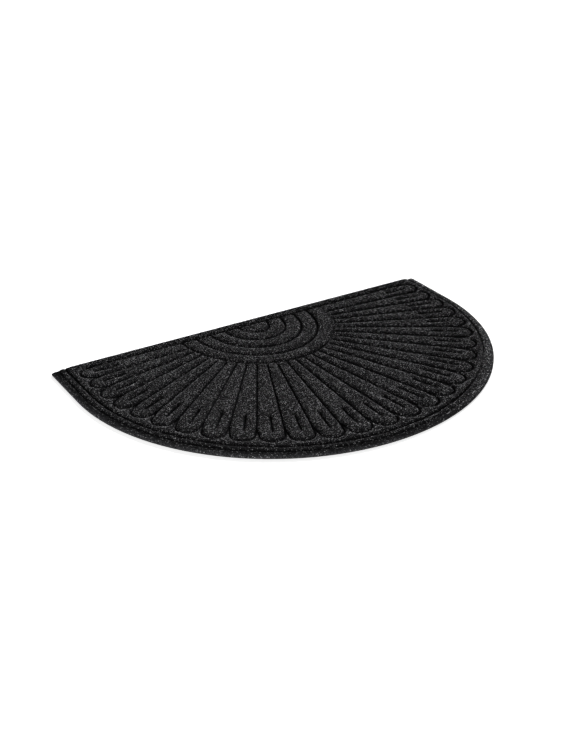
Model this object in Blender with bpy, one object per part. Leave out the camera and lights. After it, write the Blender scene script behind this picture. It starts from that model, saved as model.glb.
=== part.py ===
# Half-round doormat: a needle-punched pile face, pressed with a fan of round-ended
# petals, bonded to a flat rubber backing. Metres, +Z up, standing on z = 0, with the
# straight cut edge at +Y and the round edge at -Y.

import math

import bmesh
import bpy
from mathutils import Vector

# The cut outline: a straight back edge, short straight sides and a half ellipse
WIDTH = 0.990
DEPTH = 0.626
STRAIGHT_SIDE = 0.144
ROUND_STEPS = 64

# Layers, from the floor up, and their colours
BACKING_THICKNESS = 0.002
LAYER_GAP = 0.0003
PILE_TOP = 0.0090
RIM_TOP = 0.0036
RUBBER_COLOUR = (0.012, 0.012, 0.013)
PILE_COLOUR = (0.020, 0.020, 0.022)

# Each fold of the sloping rim's profile, outside in
RIM_PROFILE = (
    # inset, height
    (0.0030, 0.0046),
    (0.0100, 0.0062),
    (0.0200, 0.0083),
    (0.0320, PILE_TOP),
)

# The pressed pattern lies a little off the middle of the cut piece. Its grooves are
# round-bottomed, pressed by bars whose axis lies just above the pile
PRESS_SHIFT_X = 0.0075
PRESS_SHIFT_Y = 0.0072
STRAIGHT_GROOVE_RADIUS = 0.0037
CURVED_GROOVE_RADIUS = 0.0033
BAR_RESOLUTION = 2
GROOVE_AXIS_ABOVE_TOP = 0.0002
RIM_GROOVE_INSET = 0.0086
RIM_GROOVE_AXIS = 0.0080
BORDER_GROOVE_INSET = 0.0244
BORDER_GROOVE_AXIS = 0.0088
PETAL_TIP_INSET_X = 0.0405
PETAL_TIP_INSET_Y = 0.0440

# The fan: petals in equal sectors about a point below the straight groove
FAN_CENTRE_X = 0.005
FAN_CENTRE_INSET = 0.042
FAN_SPREAD = math.radians(185.4)
PETALS = 27
PETAL_START_GAP = 0.008
TIP_STEPS = 8

# A petal's round end is a little narrower than the petal, so its groove parts from
# the straight sides this far before their feet
TIP_SHARE = 0.88
TIP_LEAD = 0.026
SIDE_OVERLAP = 0.006
TIP_SHIFT = Vector((0.0016, -0.0011))
SLOT_SHIFT = Vector((0.0039, 0.0008))

# Half rings hanging from the straight groove, a little deeper than they are wide
RINGS = 5
RING_CENTRE_X = 0.0027
RING_CENTRE_INSET = 0.0226
FIRST_RING_HALF_WIDTH = 0.0370
FIRST_RING_DEPTH = 0.0455
RING_PITCH_WIDTH = 0.0376
RING_PITCH_DEPTH = 0.0396
RING_STEPS = 28

# The short groove along each petal's middle, as fractions of the petal's length
SLOT_START = 0.815
SLOT_END = 0.930

# Closer than this, two points count as one
TOUCH = 0.00001

HALF_WIDTH = WIDTH / 2
ROUND_DEPTH = DEPTH - STRAIGHT_SIDE
BACK_Y = DEPTH / 2
ROUND_Y = BACK_Y - STRAIGHT_SIDE
FACE_BOTTOM = BACKING_THICKNESS + LAYER_GAP
SECTOR = FAN_SPREAD / PETALS
FIRST_TURN = (math.pi - FAN_SPREAD) / 2
FAN_CENTRE = Vector((FAN_CENTRE_X, BACK_Y - FAN_CENTRE_INSET))
RING_CENTRE = Vector((RING_CENTRE_X, BACK_Y - RING_CENTRE_INSET))
PRESS_MIDDLE = Vector((PRESS_SHIFT_X, ROUND_Y + PRESS_SHIFT_Y))
GROOVE_AXIS = PILE_TOP + GROOVE_AXIS_ABOVE_TOP


def clear_scene():
    for obj in list(bpy.data.objects):
        bpy.data.objects.remove(obj, do_unlink=True)


def make_material(name, colour, roughness):
    material = bpy.data.materials.new(name)
    material.use_nodes = True
    shader = material.node_tree.nodes["Principled BSDF"]
    shader.inputs["Base Color"].default_value = (*colour, 1.0)
    shader.inputs["Roughness"].default_value = roughness
    shader.inputs["Metallic"].default_value = 0.0
    return material


def round_side(inset, steps=ROUND_STEPS):
    """Points of the outline's half ellipse, from left to right, this far inside the edge."""
    points = []
    for step in range(steps + 1):
        angle = math.pi * step / steps
        across = -HALF_WIDTH * math.cos(angle)
        along = -ROUND_DEPTH * math.sin(angle)
        outward = Vector((across / HALF_WIDTH**2, along / ROUND_DEPTH**2)).normalized()
        points.append(Vector((across, ROUND_Y + along)) - inset * outward)
    return points


def outline(inset, height):
    """The closed half-round loop at one height, flush with the straight back edge."""
    reach = HALF_WIDTH - inset
    flat = [Vector((-reach, BACK_Y)), *round_side(inset), Vector((reach, BACK_Y))]
    return [Vector((*point, height)) for point in flat]


def cut_back_wall(bm):
    """Makes the wall along the straight edge one flat face, whatever the profile's folds."""
    wall = [face for face in bm.faces if all(v.co.y > BACK_Y - TOUCH for v in face.verts)]
    bmesh.ops.delete(bm, geom=wall, context="FACES")
    rim = [edge for edge in bm.edges if edge.is_boundary]
    bmesh.ops.holes_fill(bm, edges=rim, sides=0)


def stacked_solid(name, loops, material):
    """A closed solid whose walls climb from loop to loop."""
    bm = bmesh.new()
    base = bm.faces.new([bm.verts.new(point) for point in loops[0]])
    top = base
    for loop in loops[1:]:
        below = top
        grown = bmesh.ops.extrude_face_region(bm, geom=[below])["geom"]
        top = next(item for item in grown if isinstance(item, bmesh.types.BMFace))
        for vert, point in zip(top.verts, loop):
            vert.co = point
        if below is not base:
            bmesh.ops.delete(bm, geom=[below], context="FACES_ONLY")
    cut_back_wall(bm)
    bmesh.ops.recalc_face_normals(bm, faces=bm.faces[:])
    mesh = bpy.data.meshes.new(name)
    bm.to_mesh(mesh)
    bm.free()
    mesh.materials.append(material)
    solid = bpy.data.objects.new(name, mesh)
    bpy.context.scene.collection.objects.link(solid)
    return solid


def close_caps(mesh):
    """Joins a bar's end caps to its sides, so that it is one closed surface."""
    bm = bmesh.new()
    bm.from_mesh(mesh)
    bmesh.ops.remove_doubles(bm, verts=bm.verts[:], dist=TOUCH)
    bmesh.ops.recalc_face_normals(bm, faces=bm.faces[:])
    bm.to_mesh(mesh)
    bm.free()


def make_cutter(name, paths, radius, height=GROOVE_AXIS):
    """Round bars along flat paths, as one mesh that presses grooves into the pile."""
    curve = bpy.data.curves.new(name, "CURVE")
    curve.dimensions = "3D"
    curve.bevel_depth = radius
    curve.bevel_resolution = BAR_RESOLUTION
    curve.use_fill_caps = True
    for path in paths:
        spline = curve.splines.new("POLY")
        spline.points.add(len(path) - 1)
        for place, point in zip(spline.points, path):
            place.co = (point[0], point[1], height, 1.0)
    bar = bpy.data.objects.new(name + "_path", curve)
    mesh = bpy.data.meshes.new_from_object(bar)
    bpy.data.objects.remove(bar)
    close_caps(mesh)
    cutter = bpy.data.objects.new(name, mesh)
    bpy.context.scene.collection.objects.link(cutter)
    cutter.hide_render = True
    cutter.display_type = "WIRE"
    return cutter


def press(solid, cutter):
    cut = solid.modifiers.new(cutter.name, "BOOLEAN")
    cut.operation = "DIFFERENCE"
    cut.solver = "EXACT"
    cut.object = cutter


def fan_direction(turn):
    """Unit vector turned from the left, round by the front, to the right."""
    return Vector((-math.cos(turn), -math.sin(turn)))


def ring_path(number):
    half_width = FIRST_RING_HALF_WIDTH + number * RING_PITCH_WIDTH
    depth = FIRST_RING_DEPTH + number * RING_PITCH_DEPTH
    path = []
    for step in range(RING_STEPS + 1):
        across, down = fan_direction(math.pi * step / RING_STEPS)
        path.append(RING_CENTRE + Vector((half_width * across, depth * down)))
    return path


def reach_to(direction, middle, half_width, depth):
    """Distance from the fan's centre to an ellipse about another middle."""
    offset = FAN_CENTRE - middle
    a = (direction.x / half_width) ** 2 + (direction.y / depth) ** 2
    b = 2 * (offset.x * direction.x / half_width**2 + offset.y * direction.y / depth**2)
    c = (offset.x / half_width) ** 2 + (offset.y / depth) ** 2 - 1
    return (-b + math.sqrt(b * b - 4 * a * c)) / (2 * a)


def petal_start(direction):
    """Distance from the fan's centre to where petal sides begin, past the last ring."""
    half_width = FIRST_RING_HALF_WIDTH + (RINGS - 1) * RING_PITCH_WIDTH
    depth = FIRST_RING_DEPTH + (RINGS - 1) * RING_PITCH_DEPTH
    return reach_to(direction, RING_CENTRE, half_width, depth) + PETAL_START_GAP


def petal_length(direction):
    """Distance from the fan's centre to the curve that the petals' tips touch."""
    half_width = HALF_WIDTH - PETAL_TIP_INSET_X
    reach = reach_to(direction, PRESS_MIDDLE, half_width, ROUND_DEPTH - PETAL_TIP_INSET_Y)
    if FAN_CENTRE.y + reach * direction.y < PRESS_MIDDLE.y:
        return reach
    side = math.copysign(half_width, direction.x)
    return (PRESS_MIDDLE.x + side - FAN_CENTRE.x) / direction.x


def full_radius(length):
    """Radius of the circle that touches a petal's two sides and its far end."""
    return length * math.sin(SECTOR / 2) / (1 + math.sin(SECTOR / 2))


def petal_foot(number):
    """Distance from the fan's centre to where that circle touches the sides."""
    length = petal_length(fan_direction(FIRST_TURN + (number + 0.5) * SECTOR))
    return (length - full_radius(length)) * math.cos(SECTOR / 2)


def tip_path(number):
    """The round end of one petal, led in from its two sides."""
    middle = FIRST_TURN + (number + 0.5) * SECTOR
    length = petal_length(fan_direction(middle))
    radius = TIP_SHARE * full_radius(length)
    centre = FAN_CENTRE + TIP_SHIFT + (length - radius) * fan_direction(middle)
    lead = petal_foot(number) - TIP_LEAD
    path = [FAN_CENTRE + lead * fan_direction(middle - SECTOR / 2)]
    for step in range(TIP_STEPS + 1):
        turn = middle - math.pi / 2 + math.pi * step / TIP_STEPS
        path.append(centre + radius * fan_direction(turn))
    path.append(FAN_CENTRE + lead * fan_direction(middle + SECTOR / 2))
    return path


def side_path(number):
    """The straight groove that two neighbouring petals share."""
    direction = fan_direction(FIRST_TURN + number * SECTOR)
    far = max(petal_foot(number - 1), petal_foot(number)) - TIP_LEAD + SIDE_OVERLAP
    return [FAN_CENTRE + petal_start(direction) * direction, FAN_CENTRE + far * direction]


def straight_path():
    """The groove along the back, from the first petal's foot to the last one's."""
    first = petal_foot(0) * fan_direction(FIRST_TURN)
    last = petal_foot(PETALS - 1) * fan_direction(FIRST_TURN + FAN_SPREAD)
    return [FAN_CENTRE + first, FAN_CENTRE + last]


def slot_path(number):
    direction = fan_direction(FIRST_TURN + (number + 0.5) * SECTOR)
    length = petal_length(direction)
    middle = FAN_CENTRE + SLOT_SHIFT
    return [middle + share * length * direction for share in (SLOT_START, SLOT_END)]


def border_path(inset):
    """A groove along the border, run out past the straight edge at both ends."""
    shift = Vector((PRESS_SHIFT_X, PRESS_SHIFT_Y))
    path = [point + shift for point in round_side(inset)]
    past_edge = Vector((0, STRAIGHT_SIDE + 4 * CURVED_GROOVE_RADIUS))
    return [path[0] + past_edge, *path, path[-1] + past_edge]


def make_backing():
    rubber = make_material("backing_rubber", RUBBER_COLOUR, 0.75)
    loops = [outline(0, 0), outline(0, BACKING_THICKNESS)]
    return stacked_solid("rubber_backing", loops, rubber)


def make_face():
    pile = make_material("charcoal_pile", PILE_COLOUR, 0.95)
    loops = [outline(0, FACE_BOTTOM), outline(0, RIM_TOP)]
    loops += [outline(inset, height) for inset, height in RIM_PROFILE]
    face = stacked_solid("pile_face", loops, pile)
    tips = [tip_path(number) for number in range(PETALS)]
    sides = [side_path(number) for number in range(1, PETALS)]
    wide, narrow = STRAIGHT_GROOVE_RADIUS, CURVED_GROOVE_RADIUS
    rings = [ring_path(number) for number in range(RINGS)]
    slots = [slot_path(number) for number in range(PETALS)]
    rim_groove = border_path(RIM_GROOVE_INSET)
    border_groove = border_path(BORDER_GROOVE_INSET)
    press(face, make_cutter("rim_groove", [rim_groove], narrow, RIM_GROOVE_AXIS))
    press(face, make_cutter("border_groove", [border_groove], narrow, BORDER_GROOVE_AXIS))
    press(face, make_cutter("straight_groove", [straight_path()], wide))
    press(face, make_cutter("petal_sides", sides, wide))
    press(face, make_cutter("rings", rings, narrow))
    press(face, make_cutter("odd_petal_tips", tips[0::2], narrow))
    press(face, make_cutter("even_petal_tips", tips[1::2], narrow))
    press(face, make_cutter("slots", slots, narrow))
    return face


def main():
    clear_scene()
    make_backing()
    make_face()


main()
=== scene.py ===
# %% [markdown]
# # A half-round doormat
# The mat is one sheet of needle-punched pile on a thin rubber sheet. A heated press
# has sunk a fan of petals, five half rings and a border into the pile. The packed
# model gives the true sizes, and this lesson makes the pile's surface finer, adds
# the fibres and gives both layers their finish.

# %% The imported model
import math

import bmesh
import bpy
import numpy as np
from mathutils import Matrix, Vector, kdtree, noise
from mathutils.geometry import delaunay_2d_cdt


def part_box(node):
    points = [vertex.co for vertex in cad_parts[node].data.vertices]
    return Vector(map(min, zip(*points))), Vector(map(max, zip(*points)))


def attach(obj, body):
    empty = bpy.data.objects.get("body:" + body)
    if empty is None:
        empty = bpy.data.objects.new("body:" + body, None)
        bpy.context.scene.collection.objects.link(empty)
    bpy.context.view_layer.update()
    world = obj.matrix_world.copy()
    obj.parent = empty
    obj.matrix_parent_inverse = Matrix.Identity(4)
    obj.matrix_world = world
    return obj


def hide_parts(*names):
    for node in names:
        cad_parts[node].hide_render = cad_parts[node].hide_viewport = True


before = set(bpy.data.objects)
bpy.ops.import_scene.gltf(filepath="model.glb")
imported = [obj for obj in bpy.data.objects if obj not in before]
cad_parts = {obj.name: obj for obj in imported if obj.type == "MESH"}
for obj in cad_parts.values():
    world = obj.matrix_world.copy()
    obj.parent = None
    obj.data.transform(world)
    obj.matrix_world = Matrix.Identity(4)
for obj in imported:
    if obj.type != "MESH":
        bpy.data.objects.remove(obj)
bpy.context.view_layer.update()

MM = 0.001
rng = np.random.default_rng(7)

# %% [markdown]
# ## Sizes
# The outline is a straight back edge, two short straight sides and a half ellipse.
# Its width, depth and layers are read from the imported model, so that the finer
# surface lands exactly on the solids. The pressed pattern lies 7.5 mm to the right
# of the middle and 7.2 mm back, as if the press and the knife were not quite in line.

# %% Sizes of the cut sheet
low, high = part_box("pile_face")
HALF_WIDTH = high.x
BACK_Y = high.y
PILE_TOP = high.z
PILE_BOTTOM = low.z
STRAIGHT_SIDE = 144 * MM
ROUND_Y = BACK_Y - STRAIGHT_SIDE
ROUND_DEPTH = ROUND_Y - low.y
print(f"sheet {2 * HALF_WIDTH:.3f} x {BACK_Y - low.y:.3f} m, pile {PILE_TOP - PILE_BOTTOM:.4f} m thick")

# %% Sizes of the pressed pattern
SHIFT = np.array([7.5, 7.2]) * MM
RIM_GROOVE_INSET = 8.6 * MM
BORDER_INSET = 24.4 * MM
TIP_INSET = np.array([40.5, 44]) * MM
FAN = np.array([5 * MM, BACK_Y - 42 * MM])
FAN_SPREAD = math.radians(185.4)
PETALS = 27
SECTOR = FAN_SPREAD / PETALS
FIRST_TURN = (math.pi - FAN_SPREAD) / 2
PETAL_START_GAP = 8 * MM
TIP_SHARE = 0.88
TIP_LEAD = 26 * MM
TIP_SHIFT = np.array([1.6, -1.1]) * MM
SLOT_SHIFT = np.array([3.9, 0.8]) * MM
SLOT = (0.815, 0.930)
RINGS = 5
RING_MIDDLE = np.array([2.7 * MM, BACK_Y - 22.6 * MM])
FIRST_RING = np.array([37.0, 45.5]) * MM
RING_PITCH = np.array([37.6, 39.6]) * MM
print(f"{PETALS} sectors of {math.degrees(SECTOR):.2f} degrees, {RINGS} half rings")

# %% [markdown]
# ## The camera
# The view looks down on the mat from its round side, a little from the left. The
# camera stands 2.6 m from the mat with a slightly long lens, so the far edge looks
# only a little shorter than the near one.

# %% Camera
CAMERA_AZIMUTH = math.radians(-31.95)
CAMERA_ELEVATION = math.radians(28.06)
CAMERA_PLACE = (-1.2885, -1.9392, 1.2433)
camera_data = bpy.data.cameras.new("camera")
camera_data.lens = 57.78
camera = bpy.data.objects.new("camera", camera_data)
camera.location = CAMERA_PLACE
camera.rotation_euler = (math.pi / 2 - CAMERA_ELEVATION, 0, CAMERA_AZIMUTH)
bpy.context.scene.collection.objects.link(camera)
bpy.context.scene.camera = camera
print(f"camera {camera.location.length:.2f} m from the middle of the mat")

# %% [markdown]
# ## Lines of the pattern
# Every groove is a line on the flat sheet: an arc, a half ellipse or a straight
# run. The lines are kept as plain rows of points, since three things are worked out
# from them later: where the surface needs points, how deep it lies and where the
# fibres are pressed flat.


# %% Lines worked out from angles
def fan_direction(turn):
    """Unit vectors turned from the left, round by the front, to the right."""
    return np.stack([-np.cos(turn), -np.sin(turn)], axis=-1)


def even_points(path, spacing):
    """The same line with points at an even spacing."""
    reach = np.concatenate([[0], np.cumsum(np.hypot(*np.diff(path, axis=0).T))])
    even = np.linspace(0, reach[-1], max(2, round(reach[-1] / spacing) + 1))
    return np.column_stack([np.interp(even, reach, path[:, axis]) for axis in (0, 1)])


def half_ellipse(middle, half_width, depth, steps=400):
    turn = np.linspace(0, math.pi, steps)
    return middle + fan_direction(turn) * (half_width, depth)


# %% The outline, at any inset
def outline_path(inset, shift=(0, 0), past_back=0.0):
    """From the back edge down the left side, round the half ellipse and up the right."""
    turn = np.linspace(0, math.pi, 800)
    edge = half_ellipse(np.array([0, ROUND_Y]), HALF_WIDTH, ROUND_DEPTH, 800)
    outward = fan_direction(turn) / (HALF_WIDTH, ROUND_DEPTH)
    outward /= np.linalg.norm(outward, axis=1, keepdims=True)
    round_part = edge - inset * outward + shift
    back = BACK_Y + past_back
    left_end = [[round_part[0, 0], back]]
    right_end = [[round_part[-1, 0], back]]
    return np.concatenate([left_end, round_part, right_end])


def inset_of(points, shift=(0, 0)):
    """How far each point lies inside the sides and the round edge."""
    x, y = (points - shift - (0, ROUND_Y)).T
    scaled = np.hypot(x / HALF_WIDTH, y / ROUND_DEPTH)
    slope = np.hypot(x / HALF_WIDTH**2, y / ROUND_DEPTH**2) / np.maximum(scaled, 1e-6)
    return np.where(y < 0, (1 - scaled) / np.maximum(slope, 1e-6), HALF_WIDTH - np.abs(x))


# %% Petals
def last_inside(turn, inside):
    """The reach of a ray from the fan's middle while it stays inside, to 0.1 mm."""
    reach = np.linspace(0, 0.7, 7001)
    points = FAN + reach[:, None] * fan_direction(turn)
    return reach[inside(points)][-1]


def inside_tips(points):
    """Inside the curve that the petals' tips touch."""
    x, y = (points - SHIFT - (0, ROUND_Y)).T
    half_width, depth = (HALF_WIDTH, ROUND_DEPTH) - TIP_INSET
    return np.where(y < 0, np.hypot(x / half_width, y / depth), np.abs(x) / half_width) < 1


def inside_last_ring(points):
    last = FIRST_RING + (RINGS - 1) * RING_PITCH
    return np.linalg.norm((points - RING_MIDDLE) / last, axis=1) < 1


tips, tip_feet = [], []
for number in range(PETALS):
    middle = FIRST_TURN + (number + 0.5) * SECTOR
    length = last_inside(middle, inside_tips)
    full = length * math.sin(SECTOR / 2) / (1 + math.sin(SECTOR / 2))
    foot = (length - full) * math.cos(SECTOR / 2)
    radius = TIP_SHARE * full
    centre = FAN + TIP_SHIFT + (length - radius) * fan_direction(middle)
    sweep = middle + np.linspace(-math.pi / 2, math.pi / 2, 50)
    leads = [FAN + (foot - TIP_LEAD) * fan_direction(middle + k * SECTOR / 2) for k in (-1, 1)]
    tips.append(np.array([leads[0], *(centre + radius * fan_direction(sweep)), leads[1]]))
    tip_feet.append(foot)
print(f"{PETALS} petals, {min(tip_feet):.3f} to {max(tip_feet):.3f} m long to their round ends")

# %% Straight lines, slots and rings
sides = []
for number in range(1, PETALS):
    turn = FIRST_TURN + number * SECTOR
    start = last_inside(turn, inside_last_ring) + PETAL_START_GAP
    reach = np.array([start, max(tip_feet[number - 1], tip_feet[number]) - TIP_LEAD])
    sides.append(FAN + reach[:, None] * fan_direction(turn))
slots = []
for number in range(PETALS):
    turn = FIRST_TURN + (number + 0.5) * SECTOR
    length = last_inside(turn, inside_tips)
    slots.append(FAN + SLOT_SHIFT + np.array(SLOT)[:, None] * length * fan_direction(turn))
rings = [half_ellipse(RING_MIDDLE, *(FIRST_RING + number * RING_PITCH)) for number in range(RINGS)]
first_end = FAN + tip_feet[0] * fan_direction(FIRST_TURN)
last_end = FAN + tip_feet[-1] * fan_direction(math.pi - FIRST_TURN)
straight = np.array([first_end, last_end])
PAST_BACK = 20 * MM
border = outline_path(BORDER_INSET, SHIFT, PAST_BACK)
rim_groove = outline_path(RIM_GROOVE_INSET, SHIFT, PAST_BACK)
print(f"{len(sides)} sides, {len(slots)} slots, straight groove {last_end[0] - first_end[0]:.3f} m long")

# %% [markdown]
# ## How deep the press has sunk the pile
# The press's bars are narrow, but the pile is springy: it is drawn down for 15 mm
# on either side of a bar, so each petal and each half ring is arched like a small
# cushion. One table gives that drop by the distance from the groove's middle, and
# another gives the rim's height by the distance from the cut edge, where the press
# has thinned it to little more than the rubber. A search tree over all the lines
# answers how far any point is from the nearest groove.

# %% Drop beside a groove, and height across the rim
GROOVE_DROP = np.array([
    # distance from the groove's middle, drop, in mm
    (0.0, 5.6), (0.8, 5.5), (1.5, 4.7), (2.3, 3.5), (3.3, 2.5), (4.6, 1.75), (6.0, 1.25),
    (8.0, 0.75), (10.0, 0.42), (13.0, 0.15), (16.0, 0.03), (19.0, 0.0),
]) * MM
RIM_HEIGHT = np.array([
    # inset from the cut edge, height, in mm
    (0.0, 3.2), (1.0, 3.8), (3.0, 4.7), (6.0, 5.5), (8.0, 5.85), (10.0, 6.2),
    (15.0, 6.9), (20.0, 7.9), (26.0, 8.6), (32.0, 9.0), (40.0, 9.0),
]) * MM
BORDER_FADE = np.array([
    # distance from the straight edge, in mm, and the share left of the border's groove
    (0.0, 0.5), (2.0, 0.8), (6.0, 1.0),
])
RIM_FADE = np.array([
    # inset from the cut edge, in mm, and the share left of a groove
    (2.0, 0.0), (10.0, 1.0),
])
BORDER_REACH = 40 * MM
# size across, height and seed of the unevenness
COARSE_LUMPS = (16 * MM, 0.3 * MM, 3.0)
FINE_LUMPS = (6 * MM, 0.25 * MM, 9.0)
BELOW_SOLID = 0.1 * MM
THINNEST = 0.5 * MM
print(f"a groove draws the pile down by about {GROOVE_DROP[0, 1] / MM:.1f} mm")

# %% How wide and deep each groove is, as factors from its first end to its last
EVEN = (1, 1)
BORDER_WIDTHS = (0.78, 0.78)
BORDER_DEPTHS = (1, 1, 1, 1, 1, 1, 0.9, 0.45, 0.9, 1, 1)
RIM_GROOVE_DEPTHS = (0.5, 0.5, 0.5, 0.5, 0.4, 0.2, 0.1, 0, 0)
SLOT_WIDTHS = (1.2, 0.8)
SLOT_DEPTHS = (1.05, 0.95)
RING_WIDTHS = (1.1, 1.1)
LAST_RING_WIDTHS = (1.15, 1.15)
LAST_RING_DEPTHS = (1, 1, 1, 0.9, 0.35, 0.25)
# the numbers of two petals, and the width at each
SIDE_WIDTHS = ((8, 16), (0.8, 1.06))
TIP_WIDTHS = ((6, 12), (0.84, 0.9))
grooves = [
    (straight, EVEN, EVEN),
    (border, BORDER_WIDTHS, BORDER_DEPTHS),
    (rim_groove, EVEN, RIM_GROOVE_DEPTHS),
]
for lines, line_widths in ((sides, SIDE_WIDTHS), (tips, TIP_WIDTHS)):
    for number, line in enumerate(lines):
        width = np.interp(number, *line_widths)
        grooves.append((line, (width, width), EVEN))
grooves += [(slot, SLOT_WIDTHS, SLOT_DEPTHS) for slot in slots]
grooves += [(ring, RING_WIDTHS, EVEN) for ring in rings[:-1]]
grooves.append((rings[-1], LAST_RING_WIDTHS, LAST_RING_DEPTHS))

# %% A search tree over the grooves
SPACING = 0.4 * MM
samples = [even_points(line, SPACING) for line, _, _ in grooves]


def along(values, count):
    """One value for each sample, spread evenly along the line."""
    return np.interp(np.linspace(0, 1, count), np.linspace(0, 1, len(values)), values)


widths = np.concatenate([along(g[1], len(line)) for g, line in zip(grooves, samples)])
depths = np.concatenate([along(g[2], len(line)) for g, line in zip(grooves, samples)])
samples = np.concatenate(samples)
tree = kdtree.KDTree(len(samples))
for index, (x, y) in enumerate(samples):
    tree.insert((x, y, 0), index)
tree.balance()
print(f"{len(grooves)} grooves, {len(samples) * SPACING:.1f} m in all")


# %% Distance and height
def groove_distance(points):
    """Each point's distance from the nearest groove, and that sample's number."""
    found = [tree.find((x, y, 0)) for x, y in points]
    return np.array([f[2] for f in found]), np.array([f[1] for f in found], dtype=int)


def uneven(points, size, amount, seed):
    """Soft unevenness that repeats nowhere, about this size across."""
    raised = [noise.noise(Vector((x / size, y / size, seed))) for x, y in points]
    return amount * np.array(raised)


def pressed(points):
    """The distance from the nearest groove over its width, and how hard it is pressed."""
    distance, nearest = groove_distance(points)
    inset = inset_of(points)
    fade = np.interp((BACK_Y - points[:, 1]) / MM, *BORDER_FADE.T)
    fade = np.where(inset < BORDER_REACH, fade, 1) * np.interp(inset / MM, *RIM_FADE.T)
    return distance / widths[nearest], fade * depths[nearest]


def height_of(points):
    distance, hard = pressed(points)
    drop = hard * np.interp(distance, *GROOVE_DROP.T)
    level = np.interp(inset_of(points), *RIM_HEIGHT.T)
    lumps = uneven(points, *COARSE_LUMPS) + uneven(points, *FINE_LUMPS)
    thickness = level - drop + lumps - BELOW_SOLID - PILE_BOTTOM
    return PILE_BOTTOM + np.clip(thickness, THINNEST, PILE_TOP - PILE_BOTTOM)


# %% [markdown]
# ## The pile's surface
# A plain grid would cut the narrow grooves into steps. Points are laid instead in
# rows along every line, close together where the surface bends, with a loose
# scatter on the flat tops, and Blender's own triangulator joins them. The edge is
# then extruded down to the rubber and closed underneath, so the pile is one solid.

# %% Rows of points
ROW_OFFSETS = np.array([0, 1.2, 2.3, 3.7, 5.4]) * MM
ROW_STEP = 2.9 * MM
LOOSE = 3.7 * MM
NEAREST = 0.95 * MM
RIM_ROWS = np.array([0.8, 2, 4, 6.5, 9, 12, 15, 18, 21]) * MM
BACK_ROWS = np.array([1, 3]) * MM
END_SWEEP = 1.2
END_POINTS = 5


def beside(path, offset):
    """The line moved sideways."""
    forward = np.gradient(path, axis=0)
    forward /= np.linalg.norm(forward, axis=1, keepdims=True)
    return path + offset * np.column_stack([-forward[:, 1], forward[:, 0]])


rows = []
for offset in ROW_OFFSETS:
    for line, _, _ in grooves:
        even = even_points(line, ROW_STEP)
        for side in {offset, -offset}:
            rows.append((beside(even, side), offset))
print(f"{len(rows)} rows beside the grooves")

# %% Round ends of the open grooves
for line in sides + slots:
    for end, before in ((line[0], line[-1]), (line[-1], line[0])):
        out = math.atan2(*(end - before)[::-1])
        for offset in ROW_OFFSETS[1:]:
            turn = np.linspace(out - END_SWEEP, out + END_SWEEP, END_POINTS)
            rows.append((end + offset * np.column_stack([np.cos(turn), np.sin(turn)]), offset))
print(f"{len(rows)} rows with the ends")

# %% Loose points between the rows, and rows along the cut edges
# the height of a triangle with even sides, and how far a point strays, as shares
TRIANGLE_HEIGHT = 0.866
STRAY = 0.22
scatter = []
for step in range(int(2 * BACK_Y / (LOOSE * TRIANGLE_HEIGHT))):
    y = -BACK_Y + step * LOOSE * TRIANGLE_HEIGHT
    x = np.arange(-HALF_WIDTH, HALF_WIDTH, LOOSE) + (step % 2) * LOOSE / 2
    scatter.append(np.column_stack([x, np.full(len(x), y)]))
scatter = np.concatenate(scatter)
scatter += rng.uniform(-STRAY, STRAY, scatter.shape) * LOOSE
edge_rows = [even_points(outline_path(inset), ROW_STEP) for inset in RIM_ROWS]
back_x = np.arange(-HALF_WIDTH, HALF_WIDTH, ROW_STEP)
edge_rows += [np.column_stack([back_x, np.full(len(back_x), BACK_Y - row)]) for row in BACK_ROWS]
print(f"{len(scatter)} loose points, {len(edge_rows)} rows along the edges")

# %% The cut edge itself, a little ragged
RAGGED = (3 * MM, 0.5 * MM, 20.0)
cut = even_points(outline_path(0), ROW_STEP)[1:-1]
ragged = uneven(cut, *RAGGED)
inward = np.array([0, ROUND_Y]) - cut
inward = inward / np.linalg.norm(inward, axis=1)[:, None]
cut = cut + inward * np.abs(ragged)[:, None]
top_x = np.linspace(HALF_WIDTH, -HALF_WIDTH, round(2 * HALF_WIDTH / ROW_STEP))
back_cut = np.column_stack([top_x, np.full(len(top_x), BACK_Y)])
rim = np.concatenate([cut, back_cut])
print(f"{len(rim)} points laid round the cut edge")


# %% Choosing points: nothing too close together
def thin_out(groups):
    """The points that keep their distance from those kept before them."""
    kept = []
    taken = {}
    for x, y in np.concatenate(groups):
        column, row = int(x // NEAREST), int(y // NEAREST)
        cells = [(column + i, row + j) for i in (-1, 0, 1) for j in (-1, 0, 1)]
        near = [point for cell in cells for point in taken.get(cell, ())]
        if all(math.hypot(x - a, y - b) > NEAREST for a, b in near):
            taken.setdefault((column, row), []).append((x, y))
            kept.append((x, y))
    return np.array(kept)


def well_inside(points, margin):
    return (inset_of(points) > margin) & (points[:, 1] < BACK_Y - margin)


# %% The points that are kept, lines first
EDGE_MARGIN = 0.6 * MM
OTHER_GROOVE_MARGIN = 0.25 * MM
RIM_ROW_CLEARANCE = 6 * MM
LOOSE_MARGIN = 4 * MM
LOOSE_INSET = 22 * MM
LOOSE_CLEARANCE = ROW_OFFSETS[-1] + 0.45 * LOOSE
groups = [rim]
for points, offset in rows:
    points = points[well_inside(points, EDGE_MARGIN)]
    if len(points):
        groups.append(points[groove_distance(points)[0] > offset - OTHER_GROOVE_MARGIN])
rim_points = np.concatenate(edge_rows)
rim_points = rim_points[well_inside(rim_points, EDGE_MARGIN)]
groups.append(rim_points[groove_distance(rim_points)[0] > RIM_ROW_CLEARANCE])
scatter = scatter[well_inside(scatter, LOOSE_MARGIN) & (inset_of(scatter) > LOOSE_INSET)]
groups.append(scatter[groove_distance(scatter)[0] > LOOSE_CLEARANCE])
flat_points = thin_out(groups)
print(f"{len(flat_points)} points on the sheet")

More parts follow.
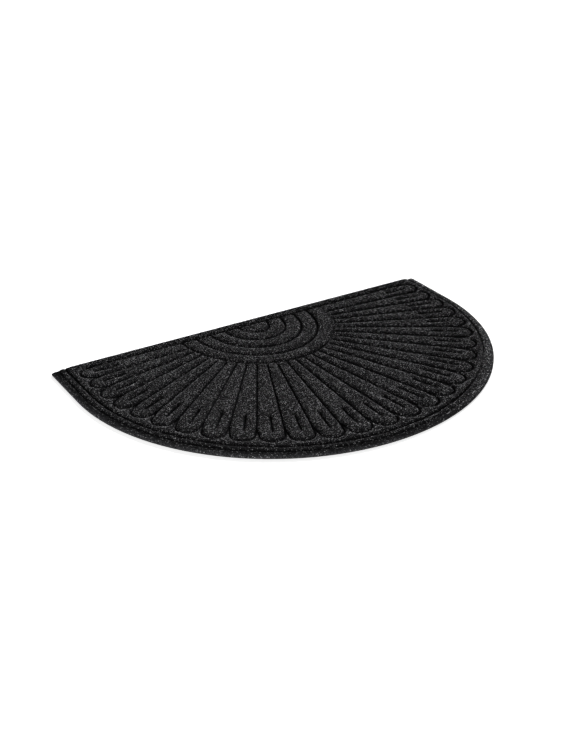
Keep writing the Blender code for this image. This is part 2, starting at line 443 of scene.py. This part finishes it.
# %% Triangles, then heights
# the triangles also fill most of the notches in the cut edge, so about 0.1 mm shows
outline_face = list(range(len(rim)))
corners, _, faces, *_ = delaunay_2d_cdt(
    [Vector(p) for p in flat_points], [], [outline_face], 1, 1e-7, False
)
corners = np.array([tuple(c) for c in corners])
heights = height_of(corners)
mesh = bpy.data.meshes.new("pressed_pile")
mesh.from_pydata([(x, y, z) for (x, y), z in zip(corners, heights)], [], [list(f) for f in faces])
print(f"{len(faces)} triangles on the pile's surface")

# %% Walls and underside
bm = bmesh.new()
bm.from_mesh(mesh)
open_edges = [edge for edge in bm.edges if edge.is_boundary]
walls = bmesh.ops.extrude_edge_only(bm, edges=open_edges)["geom"]
lower = [item for item in walls if isinstance(item, bmesh.types.BMVert)]
for vert in lower:
    vert.co.z = PILE_BOTTOM
foot = [edge for edge in bm.edges if edge.is_boundary]
bmesh.ops.holes_fill(bm, edges=foot, sides=0)
bmesh.ops.recalc_face_normals(bm, faces=bm.faces[:])
bmesh.ops.triangulate(bm, faces=[face for face in bm.faces if len(face.verts) > 4])
bad = [edge for edge in bm.edges if len(edge.link_faces) != 2]
bm.to_mesh(mesh)
bm.free()
mesh.shade_smooth()
mesh.set_sharp_from_angle(angle=math.radians(60))
mesh.calc_loop_triangles()
pile = bpy.data.objects.new("pressed_pile", mesh)
bpy.context.scene.collection.objects.link(pile)
print(f"{len(mesh.loop_triangles)} triangles in the pile, {len(bad)} open edges")

# %% [markdown]
# ## Where the pile is matted, and where light and shade are painted
# Heat and pressure fuse the pile at the bottom of each groove, so it is darker there
# and has hardly any loose fibres, over a wider strip on the right; part of that
# darkness is painted shade. Along the rim it is thin and smooth, and most so on the
# left, as if the press bore harder there. Left of the middle the rim also has painted
# light and shade: a painted highlight at the cut edge and painted shade in bands across
# the rim and the ridge inside it, with a tenth of it left on the right. The right's rim,
# which slopes towards the sun, gets painted light. The ridge inside the rim is smoother
# on the left too, and the band along the straight edge is a little darker. All this is
# kept as two values on the surface's points, one for the colour and one for the fibres.

# %% Colour and fibres by place
MATTED_AND_SHADED_TONE = np.array([
    # distance from the groove's middle in mm, and a factor on the tone, which darkens the
    # groove as matted pile and as painted shade
    (0.8, 0.10), (2.0, 0.60), (3.5, 1.05), (5.5, 1.2), (8.0, 1.1),
])
BARE = np.array([
    # distance from the groove's middle in mm, and the share of the fibres left
    (1.6, 0.0), (2.8, 0.45), (4.6, 1.0),
])
BARE_HARDNESS = 1.2
# on the right the matted strip, with its painted shade, is this much wider
WIDER_ON_RIGHT = 0.35
RIM_PAINTED_LIGHT_AND_SHADE = np.array([
    # inset from the pressed pattern's own outline in mm, and a factor on the tone:
    # a painted highlight at the cut edge and painted shade in bands across the rim and ridge
    (-9.0, 4.9), (-7.0, 4.1), (-4.5, 2.4), (-2.5, 1.2), (0.0, 0.52), (2.5, 0.40), (5.5, 0.6),
    (8.0, 0.78), (11.0, 1.2), (13.5, 1.15), (15.5, 0.6), (18.5, 0.45), (22.5, 0.8), (30.0, 1.0),
])
# what is left on the right of the painted light and shade that the rim gets on the left
RIM_PAINTED_LIGHT_SHARES = (1, 0.1)
LEFT_RIM_FIBRES = np.array([
    # inset from the cut edge in mm, and the share of the fibres left
    (0, 0.05), (8, 0.12), (14, 0.5), (22, 1),
])
RIGHT_RIM_FIBRES = np.array([
    # the same on the right
    (0, 0.2), (3, 0.5), (8, 0.85), (16, 1),
])
RIGHT_RIM_PAINTED_LIGHT_BAND = np.array([
    # inset from the cut edge in mm, and how fully the right's rim gets its painted light
    (1, 0), (5, 1), (13, 1), (19, 0),
])
# how much painted light the right's rim gets, as it slopes towards the sun
RIGHT_RIM_PAINTED_LIGHT = 1.3
RIDGE_BAND = np.array([
    # inset from the pressed outline in mm, and how fully a point is on the ridge
    (12, 0), (15, 1), (19, 1), (22, 0),
])
RIDGE_FIBRES_LOST = 0.45
BACK_BAND = np.array([
    # distance from the straight edge in mm, and the share left of both values
    (16, 0.74), (26, 1),
])
# along x in metres, where the left's values begin and cease to change
LEFT_TO_RIGHT = (0.02, 0.28)
LEFT_TO_MIDDLE = (-0.15, 0.1)
print(f"the band along the back keeps {BACK_BAND[0, 1]:.0%} of its tone and fibres")

# %% Values on the surface's points
top_points = np.array([vert.co for vert in mesh.vertices])
on_top = top_points[:, 2] > PILE_BOTTOM + 0.1 * MM
gap, hard = pressed(top_points[:, :2])
inset = inset_of(top_points[:, :2]) / MM
pressed_inset = inset_of(top_points[:, :2], SHIFT) / MM
to_right = np.interp(top_points[:, 0], LEFT_TO_RIGHT, (0, 1))
near = gap / MM / (1 + WIDER_ON_RIGHT * to_right)

# darker in the grooves, partly matted pile and partly painted shade
tone = 1 - np.minimum(hard, 1) * (1 - np.interp(near, *MATTED_AND_SHADED_TONE.T))
# painted light and shade across the rim, most on the left
rim_painted_light = np.interp(pressed_inset, *RIM_PAINTED_LIGHT_AND_SHADE.T)
tone *= 1 + (rim_painted_light - 1) * np.interp(top_points[:, 0], LEFT_TO_RIGHT, RIM_PAINTED_LIGHT_SHARES)
# painted light on the right's rim
tone *= 1 + RIGHT_RIM_PAINTED_LIGHT * to_right * np.interp(inset, *RIGHT_RIM_PAINTED_LIGHT_BAND.T)

bared = 1 - np.interp(near, *BARE.T)
standing = 1 - np.minimum(hard * BARE_HARDNESS, 1) * bared
left_rim = np.interp(inset, *LEFT_RIM_FIBRES.T)
right_rim = np.interp(inset, *RIGHT_RIM_FIBRES.T)
standing *= (left_rim + (right_rim - left_rim) * to_right) * on_top
ridge = np.interp(pressed_inset, *RIDGE_BAND.T)
standing *= 1 - RIDGE_FIBRES_LOST * ridge * np.interp(top_points[:, 0], LEFT_TO_MIDDLE, (1, 0))

back_band = np.interp((BACK_Y - top_points[:, 1]) / MM, *BACK_BAND.T)
tone *= back_band
standing *= back_band
for name, values in (("tone", tone), ("standing", standing)):
    attribute = mesh.attributes.new(name, "FLOAT", "POINT")
    attribute.data.foreach_set("value", values)
print(f"mean tone {tone.mean():.2f}, mean share of fibres {standing.mean():.2f}")

# %% [markdown]
# ## Shader helpers
# Shader maths reads best as arithmetic, so a small class wraps a socket and adds
# the Math nodes behind ordinary expressions. Any other node comes from one method.


# %% One material's nodes
class Shade:
    def __init__(self, material):
        material.use_nodes = True
        self.tree = material.node_tree
        self.shader = self.tree.nodes["Principled BSDF"]

    def node(self, kind, settings=None, **values):
        made = self.tree.nodes.new(kind)
        for name, value in (settings or {}).items():
            setattr(made, name, value)
        for name, value in values.items():
            self.set(made.inputs[name.replace("_", " ")], value)
        return made

    def set(self, socket, value):
        if isinstance(value, Wire):
            self.tree.links.new(value.socket, socket)
        else:
            socket.default_value = value

    def wire(self, node, output=0):
        return Wire(self, node.outputs[output])


# %% A socket that can be added, subtracted and multiplied
class Wire:
    def __init__(self, shade, socket):
        self.shade = shade
        self.socket = socket

    def maths(self, operation, first, second):
        made = self.shade.node("ShaderNodeMath", {"operation": operation})
        self.shade.set(made.inputs[0], first)
        self.shade.set(made.inputs[1], second)
        return self.shade.wire(made)

    def __add__(self, other):
        return self.maths("ADD", self, other)

    def __mul__(self, other):
        return self.maths("MULTIPLY", self, other)

    def __sub__(self, other):
        return self.maths("SUBTRACT", self, other)

    def __rsub__(self, other):
        return self.maths("SUBTRACT", other, self)

    __radd__ = __add__
    __rmul__ = __mul__

    def between(self, low, high):
        """0 at low, 1 at high, smooth in between."""
        made = self.shade.node(
            "ShaderNodeMapRange",
            {"interpolation_type": "SMOOTHSTEP"},
            Value=self, From_Min=low, From_Max=high,
        )
        return self.shade.wire(made)


# %% [markdown]
# ## The pile's finish
# Solution-dyed fibres are blended before they are punched, so the pile is a heather:
# mostly near-black fibres, many charcoal ones and a few light grey. The fibres lie
# every way, so small cells of one tone, bent by noise, look like their crossing ends.
# The pressed grooves are matted, with the fibres packed and their light tips turned
# in, so they are darker than the tops, and painted shade darkens them further. The
# pile has no gloss of its own, because a sheen under the low sun would hide the dark
# grooves.

# %% Colours of the blend
BLACK = (0.0060, 0.0060, 0.0063, 1)
CHARCOAL = (0.029, 0.029, 0.0305, 1)
MID_GREY = (0.078, 0.078, 0.081, 1)
LIGHT_GREY = (0.800, 0.800, 0.815, 1)


def mix_colours(shade, factor, first, second):
    made = shade.node("ShaderNodeMix", {"data_type": "RGBA"})
    shade.set(made.inputs[0], factor)
    shade.set(made.inputs[6], first)
    shade.set(made.inputs[7], second)
    return shade.wire(made, 2)


def noise_at(shade, place, scale, detail, roughness):
    made = shade.node("ShaderNodeTexNoise", Vector=place, Scale=scale, Detail=detail, Roughness=roughness)
    return shade.wire(made)


def noise_colour(shade, place, scale):
    """A noise's colour, for bending a place."""
    return shade.wire(shade.node("ShaderNodeTexNoise", Vector=place, Scale=scale, Detail=1.0), 1)


# %% Places bent by noise
SWIRL_SIZE = 1.5 * MM
SWIRL_REACH = 1.2 * MM


def bent_place(shade, place):
    swirl = shade.node("ShaderNodeVectorMath", {"operation": "SCALE"}, Scale=SWIRL_REACH)
    shade.set(swirl.inputs[0], noise_colour(shade, place, 1 / SWIRL_SIZE))
    bent = shade.node("ShaderNodeVectorMath", {"operation": "ADD"})
    shade.set(bent.inputs[0], place)
    shade.set(bent.inputs[1], shade.wire(swirl))
    return shade.wire(bent)


# %% Pile material
FLECK_SIZE = 2.6 * MM
FLECK_EDGE = (0.30, 0.55)
FLECK_CHANCE = (0.80, 0.88)


def pile_material():
    material = bpy.data.materials.new("heather_pile")
    shade = Shade(material)
    place = shade.wire(shade.node("ShaderNodeTexCoord"), "Object")
    # the tone carries the grooves' darkening, partly painted shade, and the rim's painted light and shade
    tone_and_painted_light = shade.wire(shade.node("ShaderNodeAttribute", {"attribute_name": "tone"}), 2)
    loose = shade.wire(shade.node("ShaderNodeAttribute", {"attribute_name": "standing"}), 2)
    stirred = noise_at(shade, place, 1 / (3.0 * MM), 3.0, 0.7)
    blend = noise_at(shade, place, 1 / (2.4 * MM), 2.0, 0.65)
    cells = shade.node("ShaderNodeTexVoronoi", Vector=bent_place(shade, place), Scale=1 / FLECK_SIZE)
    chance = shade.wire(shade.node("ShaderNodeSeparateColor", Color=shade.wire(cells, 1)))
    inner = 1 - shade.wire(cells).between(*FLECK_EDGE)
    patch = noise_at(shade, place, 1 / (11 * MM), 2.0, 0.5)
    tone = mix_colours(shade, blend.between(0.34, 0.66), BLACK, CHARCOAL)
    light = chance.between(*FLECK_CHANCE) * inner * (0.5 + 0.5 * stirred.between(0.4, 0.6))
    # the flecks are nearly gone where the pile is matted
    light = light * (0.14 + 0.86 * loose)
    tone = mix_colours(shade, light, tone, LIGHT_GREY)
    worn = 0.7 + 0.6 * patch
    grey = shade.node("ShaderNodeHueSaturation", Color=tone)
    shade.set(grey.inputs["Value"], worn * tone_and_painted_light)
    shade.set(shade.shader.inputs["Base Color"], shade.wire(grey))
    shade.set(shade.shader.inputs["Roughness"], 0.93 + 0.07 * blend)
    shade.shader.inputs["Specular IOR Level"].default_value = 0.0
    grain = blend * 0.6 + stirred * 0.9
    bump = shade.node("ShaderNodeBump", Strength=0.9, Distance=1.6 * MM, Height=grain)
    shade.set(shade.shader.inputs["Normal"], shade.wire(bump))
    return material


pile.data.materials.append(pile_material())
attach(pile, "root")
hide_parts("pile_face")
print(f"{pile.active_material.name}: {len(pile.active_material.node_tree.nodes)} nodes")

# %% [markdown]
# ## Fibres that stand out of the pile
# Needle-punched pile is a mass of stiff fibres, and their ends make its surface
# rough and its outline a little fuzzy. One tuft is a slim three-sided spike. Geometry
# Nodes scatters it over the pile, leaning far over in every direction, shorter where
# the press has matted the pile. Each tone of the blend is a piece of its own. The
# cut faces come out of the extrusion in no fixed order, so the few fibres on them
# fall differently in each run.

# %% One tuft
TUFT_LENGTH = 2.7 * MM
TUFT_WIDTH = 0.85 * MM
# a share of its length, which leaves a tenth of it in the pile
TUFT_LIFT = 0.4
# the shortest and the longest, as factors on that length
TUFT_SIZES = (0.65, 1.35)


def make_tuft():
    bm = bmesh.new()
    bmesh.ops.create_cone(
        bm, cap_ends=True, segments=3, radius1=TUFT_WIDTH / 2, radius2=0, depth=TUFT_LENGTH
    )
    bmesh.ops.remove_doubles(bm, verts=bm.verts[:], dist=0.01 * MM)
    bmesh.ops.translate(bm, verts=bm.verts[:], vec=(0, 0, TUFT_LENGTH * TUFT_LIFT))
    made = bpy.data.meshes.new("tuft")
    bm.to_mesh(made)
    bm.free()
    made.shade_smooth()
    return bpy.data.objects.new("tuft", made)


tuft = make_tuft()
print(f"one tuft has {len(tuft.data.polygons)} triangles")


# %% Scattering
def scatter_nodes(per_square_metre, seed, lean_from, lean_to):
    """A node group that stands tufts on a surface, with the instances realized."""
    group = bpy.data.node_groups.new("scatter", "GeometryNodeTree")
    group.interface.new_socket("Surface", in_out="INPUT", socket_type="NodeSocketGeometry")
    group.interface.new_socket("Tufts", in_out="OUTPUT", socket_type="NodeSocketGeometry")

    def add(kind, settings=None, **values):
        node = group.nodes.new(kind)
        for name, value in (settings or {}).items():
            setattr(node, name, value)
        for name, value in values.items():
            socket = node.inputs[name.replace("_", " ")]
            if isinstance(value, bpy.types.NodeSocket):
                group.links.new(value, socket)
            else:
                socket.default_value = value
        return node

    surface = add("NodeGroupInput").outputs[0]
    standing = add(
        "GeometryNodeInputNamedAttribute", {"data_type": "FLOAT"}, Name="standing"
    ).outputs[0]
    density = add("ShaderNodeMath", {"operation": "MULTIPLY"})
    group.links.new(standing, density.inputs[0])
    density.inputs[1].default_value = per_square_metre
    points = add(
        "GeometryNodeDistributePointsOnFaces",
        Mesh=surface, Density=density.outputs[0], Seed=seed,
    )
    spin = add(
        "FunctionNodeRandomValue", {"data_type": "FLOAT_VECTOR"},
        Min=(lean_from, 0, 0), Max=(lean_to, 0, 2 * math.pi), Seed=seed + 1,
    )
    lean = add("FunctionNodeEulerToRotation", Euler=spin.outputs[0])
    turned = add(
        "FunctionNodeRotateRotation", {"rotation_space": "LOCAL"},
        Rotation=points.outputs["Rotation"], Rotate_By=lean.outputs[0],
    )
    size = add("FunctionNodeRandomValue", {"data_type": "FLOAT"}, Seed=seed + 2)
    size.inputs[2].default_value = TUFT_SIZES[0]
    size.inputs[3].default_value = TUFT_SIZES[1]
    scale = add("ShaderNodeMath", {"operation": "MULTIPLY"})
    group.links.new(size.outputs[1], scale.inputs[0])
    group.links.new(standing, scale.inputs[1])
    shown = add("GeometryNodeObjectInfo", {"transform_space": "ORIGINAL"}, Object=tuft)
    placed = add(
        "GeometryNodeInstanceOnPoints",
        Points=points.outputs["Points"], Instance=shown.outputs["Geometry"],
        Rotation=turned.outputs[0], Scale=scale.outputs[0],
    )
    real = add("GeometryNodeRealizeInstances", Geometry=placed.outputs[0])
    add("NodeGroupOutput", Tufts=real.outputs[0])
    return group


# %% A tone that varies from one fibre to the next
def fibre_material(name, first, second):
    material = bpy.data.materials.new(name)
    shade = Shade(material)
    place = shade.wire(shade.node("ShaderNodeTexCoord"), "Object")
    blend = noise_at(shade, place, 1 / (2.6 * MM), 2.0, 0.6)
    tone = mix_colours(shade, blend.between(0.50, 0.60), first, second)
    shade.set(shade.shader.inputs["Base Color"], tone)
    shade.set(shade.shader.inputs["Roughness"], 0.75 + 0.2 * blend)
    shade.shader.inputs["Specular IOR Level"].default_value = 0.08
    return material


# %% One piece of fibres
TUFTS = 49000
grown_area = sum(face.area * np.mean(standing[list(face.vertices)]) for face in mesh.polygons)
print(f"fibres grow as if over {grown_area:.3f} square metres")


def make_fibres(name, seed, lean, first, second):
    """As many tufts as one piece may hold, leaning between these two angles in degrees."""
    group = scatter_nodes(TUFTS / grown_area, seed, *np.radians(lean))
    source = bpy.data.objects.new(name + "_source", mesh)
    bpy.context.scene.collection.objects.link(source)
    source.modifiers.new("scatter", "NODES").node_group = group
    grown = source.evaluated_get(bpy.context.evaluated_depsgraph_get())
    made = bpy.data.meshes.new_from_object(grown)
    bpy.data.objects.remove(source)
    made.name = name
    made.materials.clear()
    made.materials.append(fibre_material(name, first, second))
    fibres = bpy.data.objects.new(name, made)
    bpy.context.scene.collection.objects.link(fibres)
    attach(fibres, "root")
    print(f"{name}: {len(made.polygons)} triangles")
    return fibres


# %% The four tones
fibres = [
    make_fibres("black_fibres", 10, (50, 80), BLACK, CHARCOAL),
    make_fibres("charcoal_fibres", 20, (50, 80), BLACK, CHARCOAL),
    make_fibres("mid_grey_fibres", 30, (55, 85), CHARCOAL, MID_GREY),
    make_fibres("light_grey_fibres", 40, (65, 88), MID_GREY, LIGHT_GREY),
]
bpy.data.objects.remove(tuft)


# %% Flat maps from above
def map_from_above(piece):
    layer = piece.data.uv_layers.new(name="OFBake")
    places = np.empty(len(piece.data.vertices) * 3)
    piece.data.vertices.foreach_get("co", places)
    corner = np.empty(len(piece.data.loops), dtype=int)
    piece.data.loops.foreach_get("vertex_index", corner)
    flat = places.reshape(-1, 3)[corner, :2] / (2 * HALF_WIDTH + 10 * MM) + 0.5
    layer.data.foreach_set("uv", flat.ravel())


for piece in [pile] + fibres:
    map_from_above(piece)

# %% [markdown]
# ## The rubber backing
# The rubber is a plain calendered sheet. It is matt, with a faint cloth grain from
# the belt that it was cured on, and a dusty bloom that old rubber gets.


# %% Rubber material
CLEAN_RUBBER = (0.010, 0.010, 0.011, 1)
DUSTY_RUBBER = (0.019, 0.019, 0.020, 1)


def rubber_material():
    material = bpy.data.materials.new("calendered_rubber")
    shade = Shade(material)
    place = shade.wire(shade.node("ShaderNodeTexCoord"), "Object")
    cloudy = noise_at(shade, place, 1 / (35 * MM), 4.0, 0.6)
    fine = noise_at(shade, place, 1 / (0.8 * MM), 2.0, 0.6)
    tone = mix_colours(shade, cloudy.between(0.3, 0.7), CLEAN_RUBBER, DUSTY_RUBBER)
    shade.set(shade.shader.inputs["Base Color"], tone)
    shade.set(shade.shader.inputs["Roughness"], 0.62 + 0.22 * cloudy)
    bump = shade.node("ShaderNodeBump", Strength=0.4, Distance=0.15 * MM, Height=fine)
    shade.set(shade.shader.inputs["Normal"], shade.wire(bump))
    return material


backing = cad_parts["rubber_backing"]
backing.data.materials.clear()
backing.data.materials.append(rubber_material())
print(f"{backing.active_material.name}: {len(backing.active_material.node_tree.nodes)} nodes")

# %% [markdown]
# ## Floor and light
# The floor is plain and nearly white. One broad sun stands low behind the mat, to
# its right, so the petals' far shoulders catch the light and the walls of the
# grooves that face the viewer stay dark. The sky is a weak even fill.

# %% Floor
FLOOR_SIZE = 30.0
FLOOR_GLOW = 0.66
# just under the rubber, so that the two faces don't share a plane
FLOOR_HEIGHT = -0.0002
floor_mesh = bpy.data.meshes.new("floor")
bm = bmesh.new()
bmesh.ops.create_grid(bm, x_segments=1, y_segments=1, size=FLOOR_SIZE / 2)
bm.to_mesh(floor_mesh)
bm.free()
floor = bpy.data.objects.new("floor", floor_mesh)
floor.location.z = FLOOR_HEIGHT
bpy.context.scene.collection.objects.link(floor)
floor_material = bpy.data.materials.new("pale_floor")
shade = Shade(floor_material)
shade.shader.inputs["Base Color"].default_value = (0.85, 0.85, 0.85, 1)
shade.shader.inputs["Roughness"].default_value = 0.9
shade.shader.inputs["Specular IOR Level"].default_value = 0.0
shade.shader.inputs["Emission Color"].default_value = (1, 1, 1, 1)
shade.shader.inputs["Emission Strength"].default_value = FLOOR_GLOW
floor.data.materials.append(floor_material)
print(f"floor {FLOOR_SIZE:.0f} m wide")

# %% Light
KEY_AZIMUTH = math.radians(46)
KEY_ELEVATION = math.radians(14)
KEY_SPREAD = math.radians(10)
KEY_STRENGTH = 7.5
SKY_STRENGTH = 0.30
key_data = bpy.data.lights.new("key", "SUN")
key_data.energy = KEY_STRENGTH
key_data.angle = KEY_SPREAD
key = bpy.data.objects.new("key", key_data)
towards = Vector((
    math.cos(KEY_AZIMUTH) * math.cos(KEY_ELEVATION),
    math.sin(KEY_AZIMUTH) * math.cos(KEY_ELEVATION),
    math.sin(KEY_ELEVATION),
))
key.rotation_euler = towards.to_track_quat("Z", "Y").to_euler()
bpy.context.scene.collection.objects.link(key)
world = bpy.data.worlds.new("studio")
world.use_nodes = True
world.node_tree.nodes["Background"].inputs["Color"].default_value = (1, 1, 1, 1)
world.node_tree.nodes["Background"].inputs["Strength"].default_value = SKY_STRENGTH
bpy.context.scene.world = world
bpy.context.scene.view_settings.view_transform = "Standard"
print(f"sun {math.degrees(KEY_ELEVATION):.0f} degrees above the floor")
